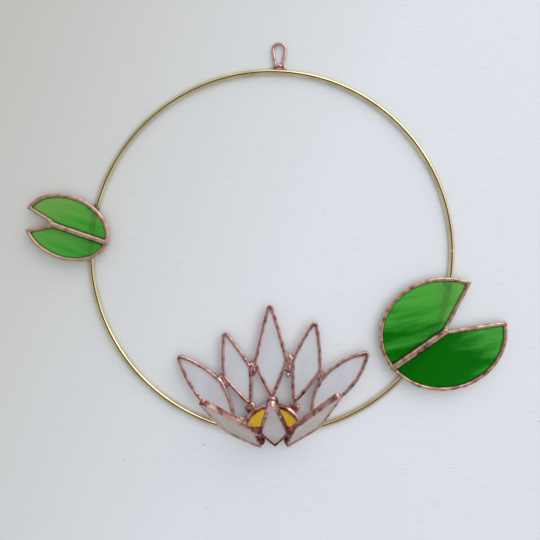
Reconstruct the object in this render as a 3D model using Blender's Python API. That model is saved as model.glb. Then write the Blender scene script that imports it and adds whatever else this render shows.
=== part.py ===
"""Stained-glass water lily hoop: a brass ring that carries a glass lily and two glass lily pads.

The ornament lies on its back. +Z is its front, +Y points from the flower to the hanging loop, +X is to
the right of someone who looks at its front, and the back of the ring lies on z = 0. Every piece is a
child of one empty at the ring's centre, so sizes below are measured from there, in millimetres.
"""
import math

import bmesh
import bpy
from mathutils import Matrix, Vector

MM = 0.001
GAP = 0.3                       # clearance kept between neighbouring solids
STRAIGHT = 0.001                # edges that turn by less than this, in radians, count as one line

# Ring, and where its centre lies in the part's frame
RING_RADIUS = 100.0             # to the middle of the wire: an 8 inch ring
RING_WIRE_RADIUS = 1.6
RING_STEPS = 90
RING_SIDES = 8
RING_CENTRE = (2.85, -4.175)     # puts the origin under the middle of the whole ornament

# Hanging loop: a teardrop of copper wire above the ring
LOOP_WIRE_RADIUS = 0.85
LOOP_CENTRE = (4.3, 112.2)
LOOP_RADIUS = 3.5
LOOP_STEPS = 8
LOOP_SIDES = 8
LOOP_FEET = ((2.3, 102.1), (5.9, 102.0))
LOOP_LEG_STEPS = 4

# Sheet glass and the copper foil with solder around its edge
GLASS_THICKNESS = 2.1
FOIL_SEAT = 0.2                 # clearance between glass and foil
FOIL_LIP = 0.3                  # solder on the face of the glass
FOIL_WALL = 0.4                 # solder around the edge of the glass
FOIL_COVER = 1.8                # width of copper seen from the front
FRONT_PETAL_COVER = 0.85        # the same on the lower edges of the front petals, where it is trimmed narrow
CENTRE_COVER = 2.8              # and on the flower centre, where solder has run onto the glass
CENTRE_FLAT_COVER = 1.2         # and on its flat edge
EDGE_THICKNESS = GLASS_THICKNESS + 2 * (FOIL_SEAT + FOIL_LIP)
FLAT_BACK = 2 * RING_WIRE_RADIUS + GAP          # back of everything soldered flat on the ring
FLAT_FRONT = FLAT_BACK + EDGE_THICKNESS

# Petals
PETAL_TIP_RADIUS = 1.9
TIP_STEPS = 4
EDGE_STEPS = 4                  # straight stretches along a curved petal edge
PETAL_STEPS = 4 * EDGE_STEPS + TIP_STEPS
LOWER_EDGES = (*range(EDGE_STEPS), *range(PETAL_STEPS - EDGE_STEPS, PETAL_STEPS))
# Five back petals lie flat: tip, left corner, base, right corner, and how far the edges swell
BACK_PETALS = {
    "petal_back_far_left": ((-51.2, -56.8), (-37.9, -83.2), (-19.4, -94.0), (-27.4, -70.3), 1.5),
    "petal_back_left": ((-26.0, -44.2), (-26.9, -68.6), (-10.9, -85.4), (-10.9, -63.0), 0.5),
    "petal_back_centre": ((-0.9, -29.2), (-10.0, -60.9), (0.5, -81.2), (9.1, -59.4), 0.3),
    "petal_back_right": ((24.1, -38.2), (11.1, -59.2), (11.9, -83.8), (27.5, -65.2), 0.7),
    "petal_back_far_right": ((53.1, -54.6), (26.8, -69.3), (21.8, -92.2), (37.6, -80.8), 2.4),
}
FRONT_PETAL_SWELL = 0.3
# Three front petals stand up from the ring: base of the outer face; plan heading, rise above the board
# and roll about the petal's own length in degrees; length, waist's distance from the base and half width;
# and the width of copper on the upper edges
FRONT_PETALS = {
    "petal_front_left": ((-5.6, -108.2, 3.8), (135.1, 37.3, -46.2), (54.6, 21.5, 8.8), 0.85),
    "petal_front_middle": ((2.0, -107.2, 4.1), (93.6, 54.6, -4.8), (52.8, 18.6, 7.7), 1.3),
    "petal_front_right": ((8.6, -107.8, 3.7), (52.1, 38.8, 47.0), (54.4, 21.5, 8.8), 0.85),
}

# Flower centre: a half disc of yellow glass
CENTRE_AT = (0.6, -99.5)
CENTRE_RADIUS = 16.6
CENTRE_FLAT_Y = -97.0
CENTRE_STEPS = 14

# Lily pads: the halves that lie anticlockwise and clockwise of the notch; centre, radii and tilt of the
# ellipse; bearings of the two notch tips and of the rib's far end; the notch's vertex; the width of the
# rib; and the width of copper on each side of the seam below it
PAD_STEPS = 24                  # straight stretches along the round edge of each half pad
RIB_HEIGHT = 0.9
RIB_STEPS = 6                   # flats around the top of the rib
PADS = {
    "pad_large": (("upper", "lower"), ((94.2, -44.9), (35.2, 31.0), 6.7), (61.3, 11.2), 213.7,
                  (96.0, -42.9), 2.6, 1.3),
    "pad_small": (("lower", "upper"), ((-112.5, 13.5), (24.2, 17.6), -22.0), (182.8, 154.0), -20.7,
                  (-120.6, 15.4), 1.8, 0.9),
}

# Solder joints: place, radii and the pieces each one is fitted against. A tack joins a pad's back to the
# side of the ring.
TACK_HEIGHT = 2.3
TACK_RADII = (2.1, 2.1, 0.85)
FLAT_MIDDLE = (FLAT_BACK + FLAT_FRONT) / 2
SEAM_HEIGHT = EDGE_THICKNESS / 2 + 0.5
SOLDER_JOINTS = {
    "solder_far_left_to_left": ((-27.3, -69.5, FLAT_MIDDLE), (2.3, 2.9, SEAM_HEIGHT),
                                ("petal_back_far_left", "petal_back_left")),
    "solder_left_to_centre": ((-10.3, -62.2, FLAT_MIDDLE), (1.9, 3.0, SEAM_HEIGHT),
                              ("petal_back_left", "petal_back_centre")),
    "solder_centre_to_right": ((10.1, -60.0, FLAT_MIDDLE), (2.0, 4.2, SEAM_HEIGHT),
                               ("petal_back_centre", "petal_back_right")),
    "solder_right_to_far_right": ((26.6, -67.3, FLAT_MIDDLE), (2.3, 3.2, SEAM_HEIGHT),
                                  ("petal_back_right", "petal_back_far_right")),
    "solder_centre_base": ((0.6, -81.6, FLAT_MIDDLE), (3.0, 2.6, SEAM_HEIGHT),
                           ("petal_back_centre", "flower_centre")),
    "solder_left_base": ((-11.3, -86.0, FLAT_MIDDLE), (3.0, 2.2, SEAM_HEIGHT),
                         ("petal_back_left", "flower_centre")),
    "solder_right_base": ((12.6, -85.4, FLAT_MIDDLE), (3.0, 2.4, SEAM_HEIGHT),
                          ("petal_back_right", "flower_centre")),
    "solder_far_left_base": ((-17.0, -93.0, FLAT_MIDDLE), (2.6, 2.4, SEAM_HEIGHT - 0.6),
                             ("petal_back_far_left", "flower_centre", "petal_front_left")),
    "solder_far_right_base": ((19.2, -92.0, FLAT_MIDDLE), (2.8, 2.4, SEAM_HEIGHT - 0.6),
                              ("petal_back_far_right", "flower_centre", "petal_front_right")),
    "solder_front_left": ((-7.3, -95.0, 20.0), (2.4, 2.2, 2.2),
                          ("petal_front_left", "petal_front_middle")),
    "solder_front_right": ((9.9, -95.0, 20.4), (2.2, 2.2, 2.2),
                           ("petal_front_right", "petal_front_middle")),
    "solder_ring_left": ((-9.0, -98.6, 4.4), (3.4, 2.8, 2.4),
                         ("hoop_ring", "flower_centre", "petal_front_left")),
    "solder_ring_middle": ((1.6, -99.0, 4.4), (3.4, 2.8, 2.4),
                           ("hoop_ring", "flower_centre", "petal_front_middle")),
    "solder_ring_right": ((10.8, -98.4, 4.4), (3.4, 2.8, 2.4),
                          ("hoop_ring", "flower_centre", "petal_front_right")),
    "solder_pad_large_top": ((96.1, -17.8, TACK_HEIGHT), TACK_RADII, ("hoop_ring",)),
    "solder_pad_large_foot": ((71.6, -65.6, TACK_HEIGHT), TACK_RADII, ("hoop_ring",)),
    "solder_pad_small_top": ((-100.2, 24.9, TACK_HEIGHT), TACK_RADII, ("hoop_ring",)),
    "solder_pad_small_foot": ((-102.7, -3.1, TACK_HEIGHT), TACK_RADII, ("hoop_ring",)),
    "solder_hanging_loop": ((4.0, 102.4, RING_WIRE_RADIUS), (3.9, 1.9, 1.4),
                            ("hoop_ring", "hanging_loop")),
}
LUMP_SEGMENTS = (10, 6)

COLOURS = {                     # base colour, roughness, metallic
    "brass": ((0.62, 0.49, 0.24, 1.0), 0.25, 1.0),
    "copper": ((0.49, 0.21, 0.17, 1.0), 0.35, 1.0),
    "white_glass": ((0.62, 0.64, 0.68, 1.0), 0.12, 0.0),
    "yellow_glass": ((0.52, 0.30, 0.03, 1.0), 0.12, 0.0),
    "green_glass": ((0.04, 0.24, 0.02, 1.0), 0.12, 0.0),
}


def clear_scene():
    for existing in list(bpy.data.objects):
        bpy.data.objects.remove(existing, do_unlink=True)


def material(name, kind):
    colour, roughness, metallic = COLOURS[kind]
    made = bpy.data.materials.new(name)
    made.use_nodes = True
    shader = made.node_tree.nodes["Principled BSDF"]
    shader.inputs["Base Color"].default_value = colour
    shader.inputs["Roughness"].default_value = roughness
    shader.inputs["Metallic"].default_value = metallic
    return made


def add_object(name, bm, kind, parent, frame=Matrix.Identity(4), smooth=False):
    """Turn a bmesh drawn in millimetres into a named child of the ring's centre."""
    bmesh.ops.recalc_face_normals(bm, faces=bm.faces)
    bmesh.ops.scale(bm, vec=(MM, MM, MM), verts=bm.verts)
    mesh = bpy.data.meshes.new(name)
    bm.to_mesh(mesh)
    bm.free()
    if smooth:
        mesh.shade_smooth()
    made = bpy.data.objects.new(name, mesh)
    made.data.materials.append(material(name, kind))
    placed = frame.copy()
    placed.translation = frame.translation * MM
    made.matrix_local = placed
    made.parent = parent
    bpy.context.scene.collection.objects.link(made)
    return made


# ---- outlines, as lists of 2-D points that run anticlockwise ----

def inset(outline, distance, narrow=(), narrow_distance=0):
    """Move every edge of a closed outline inwards; the edges that start at a narrow point move less."""
    edges = []
    for index, point in enumerate(outline):
        along = (outline[(index + 1) % len(outline)] - point).normalized()
        edges.append((Vector((-along.y, along.x)), narrow_distance if index in narrow else distance))
    moved = []
    for index, point in enumerate(outline):
        (before, first), (after, second) = edges[index - 1], edges[index]
        across = before.x * after.y - before.y * after.x
        if abs(across) < STRAIGHT:
            moved.append(point + after * second)
        else:
            moved.append(point + Vector((first * after.y - second * before.y,
                                         second * before.x - first * after.x)) / across)
    return moved


def bulged(start, end, swell, steps):
    """Points strictly between start and end, on a shallow arch that swells to the right."""
    along = end - start
    outward = Vector((along.y, -along.x)).normalized()
    points = []
    for step in range(1, steps):
        share = step / steps
        points.append(start + along * share + outward * (4 * swell * share * (1 - share)))
    return points


def petal_outline(tip, left, base, right, swell):
    """A kite with a rounded tip, its edges swollen outwards."""
    tip, left, base, right = (Vector(corner) for corner in (tip, left, base, right))
    centre = tip - (tip - base).normalized() * PETAL_TIP_RADIUS

    def bearing(corner, side):
        reach = corner - centre
        return math.atan2(reach.y, reach.x) + side * math.acos(PETAL_TIP_RADIUS / reach.length)

    first, last = bearing(right, 1), bearing(left, -1)
    last += 2 * math.pi * math.ceil((first - last) / (2 * math.pi))
    arc = []
    for step in range(TIP_STEPS + 1):
        angle = first + (last - first) * step / TIP_STEPS
        arc.append(centre + PETAL_TIP_RADIUS * Vector((math.cos(angle), math.sin(angle))))
    outline = [base] + bulged(base, right, swell, EDGE_STEPS) + [right]
    outline += bulged(right, arc[0], swell, EDGE_STEPS) + arc
    outline += bulged(arc[-1], left, swell, EDGE_STEPS) + [left]
    return outline + bulged(left, base, swell, EDGE_STEPS)


def disc_outline():
    """The flower centre: a round top and a flat lower edge."""
    start = math.asin((CENTRE_FLAT_Y - CENTRE_AT[1]) / CENTRE_RADIUS)
    outline = []
    for step in range(CENTRE_STEPS + 1):
        angle = start + (math.pi - 2 * start) * step / CENTRE_STEPS
        outline.append(Vector(CENTRE_AT) + CENTRE_RADIUS * Vector((math.cos(angle), math.sin(angle))))
    return outline


def ellipse_point(centre, radii, tilt, bearing):
    """The point of a tilted ellipse that lies at a bearing from its centre, in degrees."""
    turned = math.radians(bearing - tilt)
    reach = radii[0] * radii[1] / math.hypot(radii[1] * math.cos(turned), radii[0] * math.sin(turned))
    angle = math.radians(bearing)
    return Vector(centre) + reach * Vector((math.cos(angle), math.sin(angle)))


def half_pad_outlines(halves, ellipse, tips, rib_end, vertex):
    """Both halves of a pad: the outline, and the point where its side along the rib starts."""
    along = (ellipse_point(*ellipse, rib_end) - vertex).normalized()
    aside = Vector((along.y, -along.x)) * (GAP / 2)
    outlines = {}
    for half, start, end, shift, rib_corner, seam in zip(
            halves, (tips[0], rib_end), (rib_end, tips[1]), (aside, -aside), (PAD_STEPS, 0),
            (PAD_STEPS, PAD_STEPS + 1)):
        end += 360 * math.ceil((start - end) / 360)
        bearings = [start + (end - start) * step / PAD_STEPS for step in range(PAD_STEPS + 1)]
        round_edge = [ellipse_point(*ellipse, bearing) for bearing in bearings]
        round_edge[rib_corner] += shift
        outlines[half] = round_edge + [vertex + shift], (seam,)
    return outlines


# ---- solids ----

def prism(outline, bottom, top):
    bm = bmesh.new()
    face = bm.faces.new([bm.verts.new((point.x, point.y, bottom)) for point in outline])
    grown = bmesh.ops.extrude_face_region(bm, geom=[face])["geom"]
    corners = [item for item in grown if isinstance(item, bmesh.types.BMVert)]
    bmesh.ops.translate(bm, vec=(0, 0, top - bottom), verts=corners)
    return bm


def swept(loops, closed=True):
    """Skin a row of equal loops of points, and join the last to the first or cap both ends."""
    bm = bmesh.new()
    rows = [[bm.verts.new(point) for point in loop] for loop in loops]
    if not closed:
        bm.faces.new(rows[0])
        bm.faces.new(rows[-1])
    for index, row in enumerate(rows if closed else rows[:-1]):
        following = rows[(index + 1) % len(rows)]
        for corner in range(len(row)):
            beside = (corner + 1) % len(row)
            bm.faces.new((row[corner], row[beside], following[beside], following[corner]))
    return bm


def foil(outline, cover, narrow, narrow_cover):
    """The soldered copper edge: a channel that wraps the rim of the glass, its back at z = 0."""
    seat = inset(outline, FOIL_WALL)
    lip = inset(outline, cover, narrow, narrow_cover)
    inner_back, inner_front = FOIL_LIP, EDGE_THICKNESS - FOIL_LIP
    profile = [(outline, 0), (outline, EDGE_THICKNESS), (lip, EDGE_THICKNESS), (lip, inner_front),
               (seat, inner_front), (seat, inner_back), (lip, inner_back), (lip, 0)]
    return swept([[(point.x, point.y, height) for point in line] for line, height in profile])


def glass_piece(name, outline, kind, parent, frame, cover=FOIL_COVER, narrow=(), narrow_cover=0):
    """A sheet of glass and its foil, both standing on the frame's z = 0."""
    sheet = inset(outline, FOIL_WALL + FOIL_SEAT)
    bottom = FOIL_LIP + FOIL_SEAT
    add_object(name + "_glass", prism(sheet, bottom, bottom + GLASS_THICKNESS), kind, parent, frame)
    add_object(name + "_foil", foil(outline, cover, narrow, narrow_cover), "copper", parent, frame)


def wire_ring(radius, wire_radius):
    """A ring of wire with a flat facet on its back and front."""
    size = wire_radius / math.cos(math.pi / RING_SIDES)
    loops = []
    for step in range(RING_STEPS):
        around = 2 * math.pi * step / RING_STEPS
        loop = []
        for side in range(RING_SIDES):
            turn = 2 * math.pi * (side + 0.5) / RING_SIDES
            reach = radius + size * math.cos(turn)
            height = RING_WIRE_RADIUS + size * math.sin(turn)
            loop.append((reach * math.cos(around), reach * math.sin(around), height))
        loops.append(loop)
    return swept(loops)


def cutter(name, bm, parent, frame=Matrix.Identity(4)):
    """A hidden solid that only shapes its neighbours."""
    made = add_object(name, bm, "copper", parent, frame)
    made.hide_render = True
    made.display_type = "WIRE"
    return made


def clearance(name, outline, parent, frame):
    """The room that a foiled piece needs around it."""
    room = prism(inset(outline, -GAP), -GAP, EDGE_THICKNESS + GAP)
    return cutter("clearance_" + name, room, parent, frame)


def cut(target, tool):
    step = target.modifiers.new("clear_of_" + tool.name, "BOOLEAN")
    step.operation = "DIFFERENCE"
    step.object = tool


def solder(name, at, radii, parent, tools):
    """A rounded lump of solder, cut back from the pieces it joins."""
    bm = bmesh.new()
    around, up = LUMP_SEGMENTS
    bmesh.ops.create_uvsphere(bm, u_segments=around, v_segments=up, radius=1)
    bmesh.ops.scale(bm, vec=radii, verts=bm.verts)
    lump = add_object(name, bm, "copper", parent, Matrix.Translation(at))
    for tool in tools:
        cut(lump, tool)


def front_frame(base, heading, rise, roll):
    """Place a petal by the base of its outer face: local +Y runs to its tip, +Z faces outwards."""
    heading, rise, roll = (math.radians(angle) for angle in (heading, rise, roll))
    length = Vector((math.cos(rise) * math.cos(heading), math.cos(rise) * math.sin(heading), math.sin(rise)))
    level = Vector((-math.sin(heading), math.cos(heading), 0))
    outward = Matrix.Rotation(roll, 3, length) @ length.cross(level)
    across = length.cross(outward)
    placed = Matrix((across, length, outward)).transposed().to_4x4()
    placed.translation = Vector(base) - outward * EDGE_THICKNESS
    return placed


# ---- the pieces ----

def build_ring(parent):
    """The brass ring; returns its clearance."""
    add_object("hoop_ring", wire_ring(RING_RADIUS, RING_WIRE_RADIUS), "brass", parent, smooth=True)
    return {"hoop_ring": cutter("clearance_hoop_ring", wire_ring(RING_RADIUS, RING_WIRE_RADIUS + GAP), parent)}


def loop_route():
    """Teardrop: up the left leg, over the top and down the right leg."""
    centre = Vector(LOOP_CENTRE)
    legs = []
    for side, foot in zip((-1, 1), LOOP_FEET):
        rise = centre + Vector((side * LOOP_RADIUS, 0)) - Vector(foot)
        legs.append([Vector(foot) + rise * (step / LOOP_LEG_STEPS) for step in range(LOOP_LEG_STEPS)])
    angles = [math.pi * (1 - step / LOOP_STEPS) for step in range(LOOP_STEPS + 1)]
    top = [centre + LOOP_RADIUS * Vector((math.cos(angle), math.sin(angle))) for angle in angles]
    return legs[0] + top + legs[1][::-1]


def wire_loops(route, wire_radius):
    """Cross-sections of a wire that lies in the plane of the ring."""
    loops = []
    for index, place in enumerate(route):
        ahead = route[min(index + 1, len(route) - 1)] - route[max(index - 1, 0)]
        aside = Vector((-ahead.y, ahead.x)).normalized()
        loop = []
        for side in range(LOOP_SIDES):
            turn = 2 * math.pi * side / LOOP_SIDES
            spot = place + aside * (wire_radius * math.cos(turn))
            loop.append((spot.x, spot.y, RING_WIRE_RADIUS + wire_radius * math.sin(turn)))
        loops.append(loop)
    return loops


def build_loop(parent):
    """The hanging loop; returns its clearance."""
    wire = swept(wire_loops(loop_route(), LOOP_WIRE_RADIUS), closed=False)
    add_object("hanging_loop", wire, "copper", parent, smooth=True)
    room = swept(wire_loops(loop_route(), LOOP_WIRE_RADIUS + GAP), closed=False)
    return {"hanging_loop": cutter("clearance_hanging_loop", room, parent)}


def build_flower(parent):
    """Back petals and flower centre flat on the ring, front petals standing; returns their clearances."""
    flat = Matrix.Translation((0, 0, FLAT_BACK))
    outlines = {name: petal_outline(*corners) for name, corners in BACK_PETALS.items()}
    outlines["flower_centre"] = disc_outline()
    frames = dict.fromkeys(outlines, flat)
    covers = dict.fromkeys(outlines, (FOIL_COVER,))
    covers["flower_centre"] = (CENTRE_COVER, (CENTRE_STEPS,), CENTRE_FLAT_COVER)
    for name, (base, turns, (length, waist, half_width), upper_cover) in FRONT_PETALS.items():
        outlines[name] = petal_outline((0, length), (-half_width, waist), (0, 0), (half_width, waist),
                                       FRONT_PETAL_SWELL)
        frames[name] = front_frame(base, *turns)
        covers[name] = (upper_cover, LOWER_EDGES, FRONT_PETAL_COVER)
    clearances = {}
    for name, outline in outlines.items():
        kind = "yellow_glass" if name == "flower_centre" else "white_glass"
        glass_piece(name, outline, kind, parent, frames[name], *covers[name])
        clearances[name] = clearance(name, outline, parent, frames[name])
    return clearances


def build_pads(parent):
    """Each pad is two halves and a rib; returns the halves' clearances."""
    flat = Matrix.Translation((0, 0, FLAT_BACK))
    clearances = {}
    for pad, (halves, ellipse, tips, rib_end, vertex, rib_width, seam_cover) in PADS.items():
        vertex = Vector(vertex)
        outlines = half_pad_outlines(halves, ellipse, tips, rib_end, vertex)
        for half, (outline, seam) in outlines.items():
            name = f"{pad}_{half}"
            glass_piece(name, outline, "green_glass", parent, flat, FOIL_COVER, seam, seam_cover)
            clearances[name] = clearance(name, outline, parent, flat)
        build_rib(pad + "_rib", vertex, ellipse_point(*ellipse, rib_end), rib_width, parent)
    return clearances


def build_rib(name, vertex, rib_end, width, parent):
    """Bead of solder over the seam between the two halves of a pad."""
    middle = (vertex + rib_end) / 2
    reach = (rib_end - vertex).length
    turns = [math.pi * step / RIB_STEPS for step in range(RIB_STEPS + 1)]
    bead = [Vector((width / 2 * math.cos(turn), RIB_HEIGHT * math.sin(turn))) for turn in turns]
    bm = prism(bead, -reach / 2, reach / 2)
    heading = math.atan2(rib_end.y - vertex.y, rib_end.x - vertex.x)
    lying = Matrix.Rotation(heading, 4, "Z") @ Matrix.Rotation(math.pi / 2, 4, "X")
    lying = lying @ Matrix.Rotation(math.pi / 2, 4, "Y")
    frame = Matrix.Translation((middle.x, middle.y, FLAT_FRONT + GAP)) @ lying
    add_object(name, bm, "copper", parent, frame)


def build_solder(parent, clearances):
    for name, (at, radii, neighbours) in SOLDER_JOINTS.items():
        solder(name, at, radii, parent, [clearances[neighbour] for neighbour in neighbours])


def main():
    clear_scene()
    ring_centre = bpy.data.objects.new("ring_centre", None)
    ring_centre.location = (RING_CENTRE[0] * MM, RING_CENTRE[1] * MM, 0)
    bpy.context.scene.collection.objects.link(ring_centre)
    clearances = {}
    for build in (build_ring, build_loop, build_flower, build_pads):
        clearances.update(build(ring_centre))
    build_solder(ring_centre, clearances)


main()
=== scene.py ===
"""Stained-glass water lily hoop: its brass, copper-plated solder and glass, laid out as a Blender add-on.

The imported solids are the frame. The glass panes are those solids with their own glass. The ring, the
wire loop and every soldered edge are modelled here around them, in the same place and size.
"""

import math

import bmesh
import bpy
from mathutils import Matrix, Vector


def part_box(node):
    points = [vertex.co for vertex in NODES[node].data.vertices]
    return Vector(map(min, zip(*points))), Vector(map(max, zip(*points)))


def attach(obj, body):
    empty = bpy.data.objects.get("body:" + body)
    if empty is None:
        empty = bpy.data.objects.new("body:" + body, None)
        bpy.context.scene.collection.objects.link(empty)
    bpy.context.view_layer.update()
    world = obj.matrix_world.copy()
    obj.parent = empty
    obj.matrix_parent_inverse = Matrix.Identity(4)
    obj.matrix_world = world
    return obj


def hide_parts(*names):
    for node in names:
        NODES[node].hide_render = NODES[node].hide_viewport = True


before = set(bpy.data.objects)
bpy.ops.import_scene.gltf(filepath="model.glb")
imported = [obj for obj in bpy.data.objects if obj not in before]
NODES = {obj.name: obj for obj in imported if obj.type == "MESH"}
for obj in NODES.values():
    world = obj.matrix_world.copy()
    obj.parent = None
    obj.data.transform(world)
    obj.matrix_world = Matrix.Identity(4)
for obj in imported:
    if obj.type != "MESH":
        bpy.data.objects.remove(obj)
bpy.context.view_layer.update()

bl_info = {
    "name": "Stained-glass water lily hoop",
    "version": (1, 0, 0),
    "blender": (4, 5, 0),
    "location": "View3D > Sidebar > Water Lily",
    "description": "Models the brass, the soldered edges and the glass of a water lily hoop",
    "category": "Object",
}

MM = 0.001

# The soldered pieces, by the solids that each one stands for
BACK_PETALS = ["petal_back_far_left", "petal_back_left", "petal_back_centre", "petal_back_right",
               "petal_back_far_right"]
FRONT_PETALS = ["petal_front_left", "petal_front_middle", "petal_front_right"]
FLOWER_BACK_LUMPS = ["solder_far_left_to_left", "solder_left_to_centre", "solder_centre_to_right",
                     "solder_right_to_far_right", "solder_centre_base", "solder_left_base",
                     "solder_right_base", "solder_far_left_base", "solder_far_right_base",
                     "solder_ring_left", "solder_ring_middle", "solder_ring_right"]
FLOWER_FRONT_LUMPS = ["solder_front_left", "solder_front_right"]
PADS = ["pad_large", "pad_small"]

# A face is on a sheet's front if its normal is this close to the sheet's and it lies this near the top
SQUARE_ON, FRONT_DEPTH = 0.99, 0.1 * MM
# The bead rises in two steps: shares of its shoulder's width and of its crown's height
BEAD_STEPS = ((1 / 3, 0.6), (2 / 3, 0.4))

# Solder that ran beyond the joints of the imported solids: place from the ring's centre and radii, in mm
FLOWER_BACK_BLOBS = [((0.2, -81.4, 5.9), (2.9, 2.6, 1.7)), ((9.9, -58.6, 5.9), (1.9, 3.2, 1.5)),
                     ((9.1, -63.4, 5.8), (1.6, 2.8, 1.3)), ((9.0, -67.4, 5.6), (1.1, 1.3, 1.1)),
                     ((-10.7, -62.4, 5.8), (1.6, 2.0, 1.4)), ((-9.8, -65.5, 5.7), (1.3, 2.3, 1.3)),
                     ((-25.0, -72.0, 5.7), (1.5, 2.4, 1.2)), ((-10.4, -84.6, 5.8), (1.7, 2.4, 1.3)),
                     ((11.8, -83.6, 5.8), (1.8, 2.2, 1.3))]
# The thick solder over the flower centre's arc, a little flatter than a circle: lumps along it, by bearing
ARC_CENTRE, ARC_RADIUS, ARC_BEARINGS = Vector((0.6, -99.5, 5.4)), 16.3, range(32, 156, 4)
ARC_LUMP, ARC_FLATNESS = (1.3, 1.3, 1.6), 0.95
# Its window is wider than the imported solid's: what lies inside this radius moves out by this share
WINDOW_REACH, WINDOW_WIDENING = 14.5, 1.08
FLOWER_FRONT_BLOBS = [((-5.0, -102.9, 6.2), (1.5, 2.8, 1.8)), ((8.4, -102.9, 6.2), (1.5, 2.8, 1.8))]
PAD_BLOBS = {"pad_large": [], "pad_small": [((-120.9, 15.2, 5.2), (1.2, 1.6, 1.6))]}
LOOP_BLOBS = [((3.6, 101.4, 1.6), (4.9, 0.9, 1.25)), ((4.1, 103.0, 1.6), (2.3, 1.5, 0.95))]

# Painted shade: the plating is drawn darker around the flower's foot, among its raised front petals
FOOT_SHADE_PLACE, FOOT_SHADE_SIZE = Vector((1.6, -96, 0)) * MM, (11 * MM, 18 * MM, 200 * MM)
# Roughness of the plating, from its bright places to its thin ones
HANDLED_PLATING, FRESH_PLATING = (0.2, 0.44), (0.3, 0.48)
# How much of each pad's plating is thin
THIN_SPOTS = {"pad_large": 1.0, "pad_small": 0.5}
# Each green pane: the heading that it pales towards, the tones at its two ends, and its streaks' heading
GREEN_PANES = {"pad_large_upper": (72, (0.0, 0.78), 12), "pad_large_lower": (30, (-0.75, 0.25), 12),
               "pad_small_upper": (180, (0.55, 1.05), -20), "pad_small_lower": (190, (0.3, 0.85), -20)}

# The stage, in metres and watts
WINDOW_PLACE, WINDOW_SIZE, WINDOW_POWER = (0.8, 1.15, 1.1), 1.5, 8.5
CEILING_PLACE, CEILING_SIZE, CEILING_POWER = (0.22, -0.18, 1.3), 1.3, 7.8
BOARD_SIZE, BOARD_GAP = 4, 0.05 * MM
# The window lies this way; the board's painted shade darkens it towards the other heading
TOWARDS_WINDOW, TOWARDS_SHADED_CORNER = (0.6, 0.72, 0.35), (-0.88, 0.4, 0)
# The camera looks straight down from here, measured from the ring's centre; its sensor and lens are in mm
EYE, SENSOR_WIDTH, LENS = Vector((-0.83, -9.76, 401.6)) * MM, 36, 48.1

# Sockets of the Mix node when it mixes colours
FACTOR, FIRST, SECOND, MIXED = 0, 6, 7, 2


def linear(hex_colour):
    """Linear RGBA of an sRGB hex colour."""
    channels = [int(hex_colour[at:at + 2], 16) / 255 for at in (1, 3, 5)]
    return tuple(c / 12.92 if c <= 0.04045 else ((c + 0.055) / 1.055) ** 2.4 for c in channels) + (1.0,)


def colour_property(name, description, hex_colour):
    """A colour for the panel, given as sRGB hex."""
    return bpy.props.FloatVectorProperty(name=name, description=description, subtype="COLOR", size=4,
                                         min=0, max=1, default=linear(hex_colour))


class WaterLilySizes(bpy.types.PropertyGroup):
    """Sizes of the metal around the glass."""
    join_gap: bpy.props.FloatProperty(
        name="Ring join", description="Width of the brazed join in the brass ring",
        default=0.6 * MM, unit="LENGTH", precision=5)
    wire_swell: bpy.props.FloatProperty(
        name="Wire swell", description="How far the loop's wire swells before its facets are rounded off",
        default=0.09 * MM, unit="LENGTH", precision=5)
    bead_shoulder: bpy.props.FloatProperty(
        name="Bead shoulder", description="How far the crown of a solder bead starts from its sides",
        default=0.65 * MM, unit="LENGTH", precision=5)
    bead_crown: bpy.props.FloatProperty(
        name="Bead crown", description="How high a solder bead stands over the foil",
        default=0.5 * MM, unit="LENGTH", precision=5)
    narrow_bead: bpy.props.FloatProperty(
        name="Narrow bead", description="The bead on the front petals, as a share of the others",
        default=0.4, min=0.1, max=1)
    joint_overlap: bpy.props.FloatProperty(
        name="Joint overlap", description="How far a lump of solder runs onto its neighbours",
        default=0.3 * MM, unit="LENGTH", precision=5)
    rib_overlap: bpy.props.FloatProperty(
        name="Rib overlap", description="How far the rib of a pad runs onto its two halves",
        default=0.65 * MM, unit="LENGTH", precision=5)
    joint_flatness: bpy.props.FloatProperty(
        name="Joint flatness", description="Height of a lump between flat pieces, as a share of the full one",
        default=0.62, min=0.1, max=1)
    solder_grain: bpy.props.FloatProperty(
        name="Solder grain", description="Size of the smallest shape kept on the solder",
        default=0.29 * MM, unit="LENGTH", precision=5)
    flow_passes: bpy.props.IntProperty(
        name="Flow passes", description="How often the solder is smoothed as it flows", default=7, min=0)
    solder_swell: bpy.props.FloatProperty(
        name="Solder swell", description="How far the solder swells back after it is smoothed",
        default=0.1 * MM, unit="LENGTH", precision=5)
    ripple_length: bpy.props.FloatProperty(
        name="Ripple length", description="Length of the lumps left as the solder froze",
        default=2.4 * MM, unit="LENGTH", precision=5)
    ripple_height: bpy.props.FloatProperty(
        name="Ripple height", description="Height of the lumps left as the solder froze",
        default=0.2 * MM, unit="LENGTH", precision=5)


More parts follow.
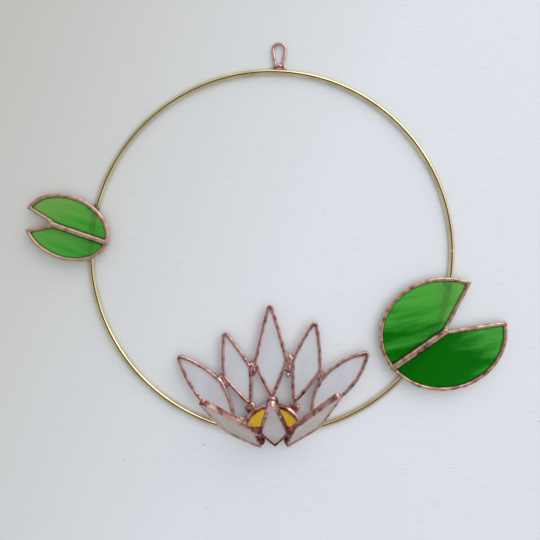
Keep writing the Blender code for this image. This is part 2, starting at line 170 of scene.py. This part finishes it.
class WaterLilyColours(bpy.types.PropertyGroup):
    """Colours of the metals, the glass, the board and the room."""
    brass: colour_property("Brass", "Polished brass of the ring", "#EDDCB0")
    brass_dull: colour_property("Dull brass", "Handled patches of the ring", "#D6C297")
    # Painted shade of the ring where it lies under the pads
    brass_shaded: colour_property("Heated brass", "Brass that the soldering iron browned", "#2A2418")
    copper: colour_property("Copper", "Plated solder, rubbed bright", "#EBBBB1")
    copper_fresh: colour_property("Fresh copper", "Evenly plated solder of the pads", "#EDC0AB")
    # Dark copper: thin plating, and also the painted shade in the solder's hollows, by the glass and around
    # the flower's foot
    copper_dark_and_shade: colour_property("Dark copper", "Plated solder in its hollows", "#7E4443")
    pearl: colour_property("Pearl white", "Body of the petal glass", "#D3D7DB")
    lilac: colour_property("Lilac wisp", "Faint wisps in the petal glass", "#CFCBD3")
    # Painted shade and a painted warm reflection: the front petals' glass, darker and warmer than the back
    # petals'
    pearl_shaded_warm: colour_property("Warm pearl", "Warmer end of the petal glass", "#C7BAA8")
    amber: colour_property("Amber", "Flower centre", "#FAD532")
    amber_deep: colour_property("Deep amber", "Thicker colour in the flower centre", "#EBB52E")
    leaf: colour_property("Leaf green", "Body of the pad glass", "#80FB6A")
    leaf_light: colour_property("Light leaf", "Pale streaks of the pad glass", "#B4F988")
    leaf_deep: colour_property("Deep leaf", "Dark streaks of the pad glass", "#06B204")
    leaf_blue: colour_property("Blue leaf", "Blue-green pools of the pad glass", "#048C3E")
    # Painted shade of the pad glass along its foil
    leaf_edge_shade: colour_property("Leaf edge", "Pad glass where the foil shuts out the light", "#123A10")
    board: colour_property("Board", "White painted board", "#DBDEE3")
    # Painted shade: the board greyer and darker towards one corner
    board_shaded_corner: colour_property("Worn board", "Greyer paint towards one corner", "#BFBDB4")
    # Painted shade in the hollows that the brush left
    board_brush_shade: colour_property("Brush line", "Hollows that the brush left in the paint", "#CDD0D4")
    board_speck: colour_property("Board speck", "Specks of dust in the paint", "#8F8C84")
    wall_low: colour_property("Low wall", "Room around the board, at its height", "#8A8C90")
    wall_high: colour_property("High wall", "Upper part of the room", "#C4C7CB")
    daylight: colour_property("Daylight", "Side of the room that the window lights", "#F4F7FA")
    overhead: colour_property("Overhead", "Whoever leans over the board", "#2E2820")


# ---- modelling ----

def pick(*pieces):
    """Select these objects alone; the first is active."""
    bpy.ops.object.select_all(action="DESELECT")
    for piece in pieces:
        piece.select_set(True)
    bpy.context.view_layer.objects.active = pieces[0]


def select_faces(piece, chosen):
    """Of a piece in edit mode, select the faces that pass a test, and no others."""
    bpy.ops.mesh.select_all(action="DESELECT")
    shape = bmesh.from_edit_mesh(piece.data)
    for face in shape.faces:
        face.select_set(chosen(face))
    bmesh.update_edit_mesh(piece.data)


def apply_modifier(piece, kind, **settings):
    """Add a modifier with its settings and apply it."""
    pick(piece)
    bpy.ops.object.modifier_add(type=kind)
    added = piece.modifiers[-1]
    for name, value in settings.items():
        setattr(added, name, value)
    bpy.ops.object.modifier_apply(modifier=added.name)


def copy_of(node):
    """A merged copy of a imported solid, to model on."""
    made = bpy.data.objects.new(node + "_copy", NODES[node].data.copy())
    bpy.context.scene.collection.objects.link(made)
    pick(made)
    bpy.ops.object.mode_set(mode="EDIT")
    bpy.ops.mesh.select_all(action="SELECT")
    bpy.ops.mesh.remove_doubles(threshold=0.01 * MM)
    bpy.ops.object.mode_set(mode="OBJECT")
    return made


def facing(mesh):
    """The direction that the front of a sheet looks: the normal of most of its area, upper side."""
    areas = {}
    for face in mesh.polygons:
        key = tuple(round(part, 1) for part in face.normal)
        areas[key] = areas.get(key, Vector()) + face.normal * face.area
    normal = max(areas.values(), key=lambda area: area.length).normalized()
    return normal if normal.z > 0 else -normal


def widen_window(band):
    """Open the flower centre's window closer to its arc, and flatten the arc."""
    middle = ring_centre() + ARC_CENTRE * MM
    pick(band)
    bpy.ops.object.mode_set(mode="EDIT")
    bpy.ops.mesh.select_all(action="DESELECT")
    shape = bmesh.from_edit_mesh(band.data)
    for vertex in shape.verts:
        vertex.select_set((vertex.co - middle).to_2d().length < WINDOW_REACH * MM)
    bmesh.update_edit_mesh(band.data)
    bpy.ops.transform.resize(value=(WINDOW_WIDENING, WINDOW_WIDENING, 1), center_override=middle)
    bpy.ops.mesh.select_all(action="SELECT")
    bpy.ops.transform.resize(value=(1, ARC_FLATNESS, 1), center_override=middle)
    bpy.ops.object.mode_set(mode="OBJECT")


def edge_band(node, shoulder, crown):
    """One soldered edge: the front of the foil, extruded to its depth, with a rounded bead on it."""
    band = copy_of(node)
    if node == "flower_centre_foil":
        widen_window(band)
    normal = facing(band.data)
    heights = [vertex.co.dot(normal) for vertex in band.data.vertices]
    front = max(heights)

    def on_front(face):
        height = face.calc_center_median().dot(normal)
        return face.normal.dot(normal) > SQUARE_ON and height > front - FRONT_DEPTH

    bpy.ops.object.mode_set(mode="EDIT")
    select_faces(band, lambda face: not on_front(face))
    bpy.ops.mesh.delete(type="FACE")
    bpy.ops.mesh.select_all(action="SELECT")
    bpy.ops.mesh.extrude_region_move(TRANSFORM_OT_translate={"value": normal * (min(heights) - front)})
    bpy.ops.mesh.select_all(action="SELECT")
    bpy.ops.mesh.normals_make_consistent(inside=False)
    select_faces(band, on_front)
    for width_share, height_share in BEAD_STEPS:
        bpy.ops.mesh.inset(thickness=shoulder * width_share, depth=crown * height_share)
    bpy.ops.object.mode_set(mode="OBJECT")
    return band


def arc_lumps():
    """Places and radii of the lumps over the flower centre's arc."""
    lumps = []
    for bearing in ARC_BEARINGS:
        angle = math.radians(bearing)
        offset = Vector((math.cos(angle), math.sin(angle) * ARC_FLATNESS, 0)) * ARC_RADIUS
        lumps.append((ARC_CENTRE + offset, ARC_LUMP))
    return lumps


def fattened(node, distance, flatness=1.0):
    """A copy of a packed lump that runs onto its neighbours, and may settle flatter."""
    lump = copy_of(node)
    low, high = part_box(node)
    bpy.ops.object.mode_set(mode="EDIT")
    bpy.ops.mesh.select_all(action="SELECT")
    bpy.ops.transform.shrink_fatten(value=distance)
    bpy.ops.transform.resize(value=(1, 1, flatness), center_override=(low + high) / 2)
    bpy.ops.object.mode_set(mode="OBJECT")
    return lump


def ring_centre():
    """The middle of the ring, at the height of the board."""
    low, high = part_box("hoop_ring")
    return Vector(((low.x + high.x) / 2, (low.y + high.y) / 2, 0))


def pad_middle(pad):
    """The middle of a pad and its half size across, with all heights counted as inside."""
    boxes = [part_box(f"{pad}_{half}_foil") for half in ("upper", "lower")]
    low = Vector([min(box[0][axis] for box in boxes) for axis in range(3)])
    high = Vector([max(box[1][axis] for box in boxes) for axis in range(3)])
    return (low + high) / 2, Vector((high.x - low.x, high.y - low.y, 1)) / 2


def blob(at, radii):
    """A rounded lump of solder, placed in millimetres from the ring's centre."""
    bpy.ops.object.select_all(action="DESELECT")
    bpy.ops.mesh.primitive_uv_sphere_add(segments=24, ring_count=14, radius=MM,
                                         location=ring_centre() + Vector(at) * MM)
    made = bpy.context.active_object
    made.scale = radii
    bpy.ops.object.transform_apply(location=True, rotation=True, scale=True)
    return made


def flow_together(name, parts, grain, sizes):
    """Join overlapping parts into one skin of solder, let it flow smooth, and ripple it."""
    pick(*parts)
    bpy.ops.object.join()
    solder = parts[0]
    solder.name = solder.data.name = name
    apply_modifier(solder, "REMESH", mode="VOXEL", voxel_size=grain, use_smooth_shade=True)
    apply_modifier(solder, "SMOOTH", factor=0.5, iterations=sizes.flow_passes)
    apply_modifier(solder, "DISPLACE", mid_level=0, strength=sizes.solder_swell)
    ripples = bpy.data.textures.new(name + "_ripples", "CLOUDS")
    ripples.noise_scale = sizes.ripple_length
    ripples.noise_depth = 1
    apply_modifier(solder, "DISPLACE", texture=ripples, texture_coords="LOCAL", mid_level=0.55,
                   strength=sizes.ripple_height)
    apply_modifier(solder, "SMOOTH", factor=0.5, iterations=2)
    bpy.data.textures.remove(ripples)
    return solder


def finish_piece(piece, nodes, look):
    """Give a new piece its material and its place in the frame."""
    piece.data.materials.clear()
    piece.data.materials.append(look)
    pick(piece)
    bpy.ops.object.shade_smooth()
    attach(piece, "root")
    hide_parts(*nodes)


def dress(node, look):
    """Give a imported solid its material."""
    NODES[node].data.materials.clear()
    NODES[node].data.materials.append(look)


# ---- materials ----

def connect(tree, node, inputs):
    """Fill a node's inputs; each takes a value or another node's output."""
    for socket, value in inputs.items():
        if isinstance(value, bpy.types.NodeSocket):
            tree.links.new(value, node.inputs[socket])
        else:
            node.inputs[socket].default_value = value


def add(tree, kind, inputs=None, **settings):
    """Add a node with its settings and inputs."""
    made = tree.nodes.new(kind)
    for name, value in settings.items():
        setattr(made, name, value)
    connect(tree, made, inputs or {})
    return made


def blend(tree, share, first, second):
    """Mix two colours, with this share of the second."""
    return add(tree, "ShaderNodeMix", {FACTOR: share, FIRST: first, SECOND: second},
               data_type="RGBA").outputs[MIXED]


def ramp(tree, value, start, end, low=0.0, high=1.0):
    """Run from low to high as the value runs from start to end."""
    return add(tree, "ShaderNodeMapRange", {0: value, 1: start, 2: end, 3: low, 4: high}).outputs[0]


def noise(tree, at, lump, detail, roughness=0.5, distortion=0.0):
    """Noise whose lumps are about this long."""
    return add(tree, "ShaderNodeTexNoise", {"Vector": at, "Scale": 1 / lump, "Detail": detail,
                                            "Roughness": roughness, "Distortion": distortion}).outputs[0]


def measured(tree, at, size, heading=0.0, middle=(0, 0, 0)):
    """Places counted in units of a size from a middle, along a heading in degrees."""
    return add(tree, "ShaderNodeMapping", {"Vector": at, "Location": middle, "Scale": size,
                                           "Rotation": (0, 0, math.radians(heading))},
               vector_type="TEXTURE").outputs[0]


def length(tree, vector):
    """How long a vector is."""
    return add(tree, "ShaderNodeVectorMath", {0: vector}, operation="LENGTH").outputs["Value"]


def along(tree, vector, direction):
    """How far a vector reaches in a direction."""
    return add(tree, "ShaderNodeVectorMath", {0: vector, 1: direction},
               operation="DOT_PRODUCT").outputs["Value"]


def openness(tree, reach):
    """How open a place is to the air within reach: 1 in the open, less in a corner."""
    return add(tree, "ShaderNodeAmbientOcclusion", {"Distance": reach}, samples=8).outputs["AO"]


def relief(tree, height, strength, depth):
    """The normal of a surface with these heights on it."""
    return add(tree, "ShaderNodeBump", {"Strength": strength, "Distance": depth, "Height": height}).outputs[0]


def new_look(name):
    """A material, its node tree and its shader."""
    made = bpy.data.materials.new(name)
    made.use_nodes = True
    return made, made.node_tree, made.node_tree.nodes["Principled BSDF"]


def polished_brass(colours):
    """Brass wire, drawn and polished: lined along its length, dulled by hands, and drawn dark under the pads
    as painted shade, where it lies in their shadow.
    """
    made, tree, shader = new_look("polished_drawn_brass")
    wire = add(tree, "ShaderNodeTexCoord").outputs["UV"]
    drawn = add(tree, "ShaderNodeMapping", {"Vector": wire, "Scale": (60, 24, 1)}).outputs[0]
    lines = noise(tree, drawn, 1, 3)
    place = add(tree, "ShaderNodeTexCoord").outputs["Object"]
    patches = noise(tree, place, 14 * MM, 4)
    dull = ramp(tree, patches, 0.42, 0.68)
    colour = blend(tree, dull, colours.brass, colours.brass_dull)
    rough = ramp(tree, patches, 0.3, 0.7, 0.1, 0.22)
    for pad in PADS:
        middle, half_size = pad_middle(pad)
        # Painted shade: the ring under each pad is drawn dark, where the pad shades it
        pad_coords = measured(tree, place, half_size, middle=middle)
        pad_shade = ramp(tree, length(tree, pad_coords), 1.0, 0.85)
        colour = blend(tree, pad_shade, colour, colours.brass_shaded)
        rough = add(tree, "ShaderNodeMath", {0: pad_shade, 1: 0.35, 2: rough},
                    operation="MULTIPLY_ADD").outputs[0]
    bump = relief(tree, lines, 0.25, 0.03 * MM)
    connect(tree, shader, {"Base Color": colour, "Metallic": 1.0, "Roughness": rough, "Normal": bump})
    return made


def copper_solder(name, bright, dark, thin_spots, roughness):
    """Lead-free solder, plated with copper: satin, darker where the plating is thin, with painted shade
    around the flower's foot, in its hollows and by the glass.
    """
    made, tree, shader = new_look(name)
    place = add(tree, "ShaderNodeTexCoord").outputs["Object"]
    plating = noise(tree, place, 3.6 * MM, 3)
    around_foot = measured(tree, place, FOOT_SHADE_SIZE, middle=ring_centre() + FOOT_SHADE_PLACE)
    # Painted shade around the flower's foot, added to the thin plating
    foot_shade = ramp(tree, length(tree, around_foot), 1, 0.5, high=0.4)
    thin_plating_and_shade = add(tree, "ShaderNodeMath", {0: plating, 1: foot_shade}, operation="ADD").outputs[0]
    # Thin plating, with the painted shade around the flower's foot in it
    thin = ramp(tree, thin_plating_and_shade, 0.44, 0.7, high=thin_spots)
    # Painted shade: darker where the solder is shut in, in its hollows and by the glass
    crevice_shade = ramp(tree, openness(tree, 1.4 * MM), 0.9, 0.6)
    tarnish_and_shade = add(tree, "ShaderNodeMath", {0: thin, 1: crevice_shade}, operation="MAXIMUM").outputs[0]
    colour = blend(tree, tarnish_and_shade, bright, dark)
    rough = ramp(tree, plating, 0.3, 0.7, roughness[0], roughness[1])
    pits = noise(tree, place, 1.3 * MM, 4)
    bump = relief(tree, pits, 0.3, 0.16 * MM)
    connect(tree, shader, {"Base Color": colour, "Metallic": 1.0, "Roughness": rough, "Normal": bump})
    return made


def sheet_waves(tree, place, wave):
    """The slow hills and hollows that rollers leave in sheet glass."""
    waves = noise(tree, place, wave, 2)
    return relief(tree, waves, 0.35, 0.25 * MM)


def opal_glass(name, body, wisp_colour):
    """Opalescent sheet glass, rolled: milky white with wisps, and a fire-polished face."""
    made, tree, shader = new_look(name)
    place = add(tree, "ShaderNodeTexCoord").outputs["Object"]
    drawn = measured(tree, place, (30 * MM, 11 * MM, 11 * MM), heading=70)
    wisps = noise(tree, drawn, 1, 2, distortion=0.8)
    wisp = ramp(tree, wisps, 0.42, 0.72)
    colour = blend(tree, wisp, body, wisp_colour)
    connect(tree, shader, {"Base Color": colour, "Roughness": 0.45, "IOR": 1.5,
                           "Transmission Weight": 0.3, "Coat Weight": 0.6, "Coat Roughness": 0.08,
                           "Normal": sheet_waves(tree, place, 9 * MM)})
    return made


def amber_glass(colours):
    """Cathedral sheet glass: clear amber, deeper in patches."""
    made, tree, shader = new_look("amber_cathedral_glass")
    place = add(tree, "ShaderNodeTexCoord").outputs["Object"]
    patches = noise(tree, place, 6 * MM, 3)
    colour = blend(tree, patches, colours.amber, colours.amber_deep)
    connect(tree, shader, {"Base Color": colour, "Roughness": 0.2, "IOR": 1.5,
                           "Transmission Weight": 0.15, "Coat Weight": 0.6, "Coat Roughness": 0.06,
                           "Normal": sheet_waves(tree, place, 7 * MM)})
    return made


def streaky_green_glass(name, colours, middle, pale_heading, tones, streak_heading):
    """Streaky sheet glass: greens ladled together and rolled, so it streaks one way and pales to one side.

    The tone runs over the pane from the first to the second of the two, towards the pale heading. A tone
    of 0 is deep, 0.5 is leaf green and 1 is pale.
    """
    made, tree, shader = new_look(name)
    place = add(tree, "ShaderNodeTexCoord").outputs["Object"]
    across = measured(tree, place, (22 * MM, 22 * MM, 22 * MM), pale_heading, middle)
    toward = add(tree, "ShaderNodeSeparateXYZ", {0: across}).outputs["X"]
    fade = ramp(tree, toward, -1, 1, tones[0], tones[1])
    rolled = measured(tree, place, (32 * MM, 5 * MM, 5 * MM), streak_heading)
    streaks = noise(tree, rolled, 1, 5, roughness=0.55, distortion=0.6)
    streak = ramp(tree, streaks, 0.25, 0.75, -0.45, 0.45)
    tone = add(tree, "ShaderNodeMath", {0: fade, 1: streak}, operation="ADD").outputs[0]
    pale = ramp(tree, tone, 0.5, 1)
    deep = ramp(tree, tone, 0.5, 0)
    lighter = blend(tree, pale, colours.leaf, colours.leaf_light)
    pools = noise(tree, place, 11 * MM, 2)
    pool = ramp(tree, pools, 0.54, 0.7, high=0.7)
    darkest = blend(tree, pool, colours.leaf_deep, colours.leaf_blue)
    streaky = blend(tree, deep, lighter, darkest)
    # Painted shade: the glass drawn darker where the foil walls it in and shuts out the light
    foil_shade = ramp(tree, openness(tree, 1.6 * MM), 0.9, 0.55, high=0.95)
    colour = blend(tree, foil_shade, streaky, colours.leaf_edge_shade)
    connect(tree, shader, {"Base Color": colour, "Roughness": 0.2, "IOR": 1.5, "Specular IOR Level": 0.06,
                           "Transmission Weight": 0.81, "Coat Weight": 0.1, "Coat Roughness": 0.06,
                           "Normal": sheet_waves(tree, place, 11 * MM)})
    return made


def painted_board(colours):
    """Satin white paint, brushed on a board, with painted shade in its brush hollows and towards one corner.
    """
    made, tree, shader = new_look("brushed_white_paint")
    place = add(tree, "ShaderNodeTexCoord").outputs["Object"]
    brushed = measured(tree, place, (9 * MM, 0.7 * MM, 1))
    strokes = noise(tree, brushed, 1, 3)
    # Painted shade: the brush hollows drawn darker
    line = ramp(tree, strokes, 0.58, 0.78)
    painted = blend(tree, line, colours.board, colours.board_brush_shade)
    # Painted shade: the board greyer and darker towards one corner, where less light falls
    corner_shade = ramp(tree, along(tree, place, TOWARDS_SHADED_CORNER), -0.02, 0.2)
    painted = blend(tree, corner_shade, painted, colours.board_shaded_corner)
    dust = add(tree, "ShaderNodeTexVoronoi", {"Vector": place, "Scale": 1 / (17 * MM)}).outputs["Distance"]
    speck = ramp(tree, dust, 0.028, 0.012)
    colour = blend(tree, speck, painted, colours.board_speck)
    bump = relief(tree, strokes, 0.15, 0.1 * MM)
    connect(tree, shader, {"Base Color": colour, "Roughness": 0.5, "Normal": bump})
    return made


def room(colours):
    """The room around the board: dim overhead, where someone leans over it, and bright by the window."""
    world = bpy.data.worlds.new("room")
    world.use_nodes = True
    tree = world.node_tree
    toward = add(tree, "ShaderNodeTexCoord").outputs["Generated"]
    up = add(tree, "ShaderNodeSeparateXYZ", {0: toward}).outputs["Z"]
    overhead = ramp(tree, up, 0.9, 0.93)
    height = ramp(tree, up, 0, 0.7)
    glow = ramp(tree, along(tree, toward, TOWARDS_WINDOW), 0.2, 0.85)
    walls = blend(tree, height, colours.wall_low, colours.wall_high)
    lit = blend(tree, glow, walls, colours.daylight)
    seen = blend(tree, overhead, lit, colours.overhead)
    tree.links.new(seen, tree.nodes["Background"].inputs["Color"])
    return world


def light_box(name, location, size, power):
    """A soft light that faces the middle of the board."""
    bpy.ops.object.light_add(type="AREA", location=location)
    light = bpy.context.active_object
    light.name = name
    light.rotation_euler = (-light.location).to_track_quat("-Z", "Y").to_euler()
    light.data.size = size
    light.data.energy = power
    return light


# ---- pieces ----

class WATERLILY_OT_brass_ring(bpy.types.Operator):
    """Turn the brass ring, with the fine join where its ends meet."""
    bl_idname = "water_lily.brass_ring"
    bl_label = "Brass ring"
    join_bearing = math.radians(0.75)
    join_reach = 4 * MM
    join_waist = 0.93

    def mark_join(self, ring, middle, radius, width):
        """Cut a shallow groove across the wire."""
        out = Vector((math.cos(self.join_bearing), math.sin(self.join_bearing), 0))
        along = Vector((-out.y, out.x, 0))
        spot = middle + out * radius
        pick(ring)
        bpy.ops.object.mode_set(mode="EDIT")
        for offset in (-width / 2, width / 2, 0):
            select_faces(ring, lambda face: (face.calc_center_median() - spot).length < self.join_reach)
            bpy.ops.mesh.bisect(plane_co=spot + along * offset, plane_no=along)
        bpy.ops.transform.resize(value=(self.join_waist, 1, self.join_waist), center_override=spot)
        bpy.ops.object.mode_set(mode="OBJECT")

    def execute(self, context):
        sizes, colours = context.scene.water_lily_sizes, context.scene.water_lily_colours
        low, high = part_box("hoop_ring")
        middle = (low + high) / 2
        wire_radius = (high.z - low.z) / 2
        radius = (high.x - low.x) / 2 - wire_radius
        bpy.ops.object.select_all(action="DESELECT")
        bpy.ops.mesh.primitive_torus_add(location=middle, major_radius=radius, minor_radius=wire_radius,
                                         major_segments=360, minor_segments=24)
        ring = context.active_object
        ring.name = ring.data.name = "brass_ring"
        bpy.ops.object.transform_apply(location=True, rotation=True, scale=True)
        self.mark_join(ring, middle, radius, sizes.join_gap)
        finish_piece(ring, ["hoop_ring"], polished_brass(colours))
        return {"FINISHED"}


class WATERLILY_OT_hanging_loop(bpy.types.Operator):
    """Round the copper wire of the hanging loop and solder its feet to the ring."""
    bl_idname = "water_lily.hanging_loop"
    bl_label = "Hanging loop"

    def execute(self, context):
        sizes, colours = context.scene.water_lily_sizes, context.scene.water_lily_colours
        look = copper_solder("copper_plated_wire", colours.copper, colours.copper_dark_and_shade, 1.0, HANDLED_PLATING)
        wire = fattened("hanging_loop", sizes.wire_swell)
        wire.name = wire.data.name = "copper_loop"
        apply_modifier(wire, "SUBSURF", levels=2, render_levels=2)
        finish_piece(wire, ["hanging_loop"], look)
        fine_grain = sizes.solder_grain / 2
        web = flow_together("loop_solder", [blob(*lump) for lump in LOOP_BLOBS], fine_grain, sizes)
        finish_piece(web, ["solder_hanging_loop"], look)
        return {"FINISHED"}


class WATERLILY_OT_flower_solder(bpy.types.Operator):
    """Run solder along every edge of the flower's glass and fill the joints between them."""
    bl_idname = "water_lily.flower_solder"
    bl_label = "Flower solder"

    def execute(self, context):
        sizes, colours = context.scene.water_lily_sizes, context.scene.water_lily_colours
        look = copper_solder("copper_plated_solder", colours.copper, colours.copper_dark_and_shade, 1.0,
                             HANDLED_PLATING)
        for name, glass, lumps, blobs, flatness, bead in (
                ("flower_back_solder", BACK_PETALS + ["flower_centre"], FLOWER_BACK_LUMPS,
                 FLOWER_BACK_BLOBS + arc_lumps(), sizes.joint_flatness, 1.0),
                ("flower_front_solder", FRONT_PETALS, FLOWER_FRONT_LUMPS, FLOWER_FRONT_BLOBS, 1.0,
                 sizes.narrow_bead)):
            foils = [piece + "_foil" for piece in glass]
            parts = [edge_band(foil, sizes.bead_shoulder * bead, sizes.bead_crown * bead) for foil in foils]
            parts += [fattened(lump, sizes.joint_overlap, flatness) for lump in lumps]
            parts += [blob(*lump) for lump in blobs]
            solder = flow_together(name, parts, sizes.solder_grain, sizes)
            finish_piece(solder, foils + lumps, look)
        return {"FINISHED"}


class WATERLILY_OT_pad_solder(bpy.types.Operator):
    """Run solder around both halves of each pad, with the raised rib between them."""
    bl_idname = "water_lily.pad_solder"
    bl_label = "Pad solder"

    def execute(self, context):
        sizes, colours = context.scene.water_lily_sizes, context.scene.water_lily_colours
        for pad in PADS:
            look = copper_solder(pad + "_copper_plating", colours.copper_fresh, colours.copper_dark_and_shade,
                                 THIN_SPOTS[pad], FRESH_PLATING)
            foils = [f"{pad}_upper_foil", f"{pad}_lower_foil"]
            rib, tacks = pad + "_rib", [f"solder_{pad}_top", f"solder_{pad}_foot"]
            parts = [edge_band(foil, sizes.bead_shoulder, sizes.bead_crown) for foil in foils]
            parts += [fattened(rib, sizes.rib_overlap)] + [copy_of(tack) for tack in tacks]
            parts += [blob(*lump) for lump in PAD_BLOBS[pad]]
            solder = flow_together(pad + "_solder", parts, sizes.solder_grain, sizes)
            finish_piece(solder, foils + [rib, *tacks], look)
        return {"FINISHED"}


class WATERLILY_OT_glass(bpy.types.Operator):
    """Give every pane its sheet glass."""
    bl_idname = "water_lily.glass"
    bl_label = "Glass"

    def execute(self, context):
        colours = context.scene.water_lily_colours
        # The front petals get a darker, warmer copy of the opal glass: painted shade and reflection
        for name, petals, body in (("opalescent_white_glass", BACK_PETALS, colours.pearl),
                                   ("opalescent_shaded_glass", FRONT_PETALS, colours.pearl_shaded_warm)):
            opal = opal_glass(name, body, colours.lilac)
            for petal in petals:
                dress(petal + "_glass", opal)
                # Opal glass lets the lamps through, so the board shows light between the petals
                NODES[petal + "_glass"].visible_shadow = False
        dress("flower_centre_glass", amber_glass(colours))
        for half, streaks in GREEN_PANES.items():
            low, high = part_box(half + "_glass")
            dress(half + "_glass", streaky_green_glass(half + "_streaky_glass", colours, (low + high) / 2,
                                                       *streaks))
        return {"FINISHED"}


class WATERLILY_OT_stage(bpy.types.Operator):
    """Lay the board, and set the lights and the camera."""
    bl_idname = "water_lily.stage"
    bl_label = "Stage"

    def execute(self, context):
        colours = context.scene.water_lily_colours
        bpy.ops.object.select_all(action="DESELECT")
        bpy.ops.mesh.primitive_plane_add(size=BOARD_SIZE, location=(0, 0, -BOARD_GAP))
        board = context.active_object
        board.name = "board"
        bpy.ops.object.transform_apply(location=True)
        board.data.materials.append(painted_board(colours))
        light_box("window", WINDOW_PLACE, WINDOW_SIZE, WINDOW_POWER)
        ceiling = light_box("ceiling", CEILING_PLACE, CEILING_SIZE, CEILING_POWER)
        ceiling.visible_glossy = False
        ceiling.visible_transmission = False
        context.scene.world = room(colours)
        bpy.ops.object.camera_add(location=ring_centre() + EYE, rotation=(0, 0, 0))
        camera = context.active_object
        camera.data.sensor_width = SENSOR_WIDTH
        camera.data.lens = LENS
        camera.data.clip_start = 0.01
        context.scene.camera = camera
        context.scene.view_settings.view_transform = "Standard"
        return {"FINISHED"}


# ---- add-on ----

PIECES = (WATERLILY_OT_brass_ring, WATERLILY_OT_hanging_loop, WATERLILY_OT_flower_solder,
          WATERLILY_OT_pad_solder, WATERLILY_OT_glass, WATERLILY_OT_stage)


class WATERLILY_PT_pieces(bpy.types.Panel):
    """Buttons for the pieces, and their sizes and colours."""
    bl_idname = "WATERLILY_PT_pieces"
    bl_label = "Water Lily Hoop"
    bl_space_type = "VIEW_3D"
    bl_region_type = "UI"
    bl_category = "Water Lily"

    def draw(self, context):
        for piece in PIECES:
            self.layout.operator(piece.bl_idname)
        for group in (context.scene.water_lily_sizes, context.scene.water_lily_colours):
            box = self.layout.box()
            for name in group.__annotations__:
                box.prop(group, name)


CLASSES = (WaterLilySizes, WaterLilyColours, *PIECES, WATERLILY_PT_pieces)


def register():
    for made in CLASSES:
        bpy.utils.register_class(made)
    bpy.types.Scene.water_lily_sizes = bpy.props.PointerProperty(type=WaterLilySizes)
    bpy.types.Scene.water_lily_colours = bpy.props.PointerProperty(type=WaterLilyColours)


def unregister():
    del bpy.types.Scene.water_lily_colours
    del bpy.types.Scene.water_lily_sizes
    for made in reversed(CLASSES):
        bpy.utils.unregister_class(made)


def main():
    register()
    bpy.ops.water_lily.brass_ring()
    bpy.ops.water_lily.hanging_loop()
    bpy.ops.water_lily.flower_solder()
    bpy.ops.water_lily.pad_solder()
    bpy.ops.water_lily.glass()
    bpy.ops.water_lily.stage()


if __name__ == "__main__":
    main()
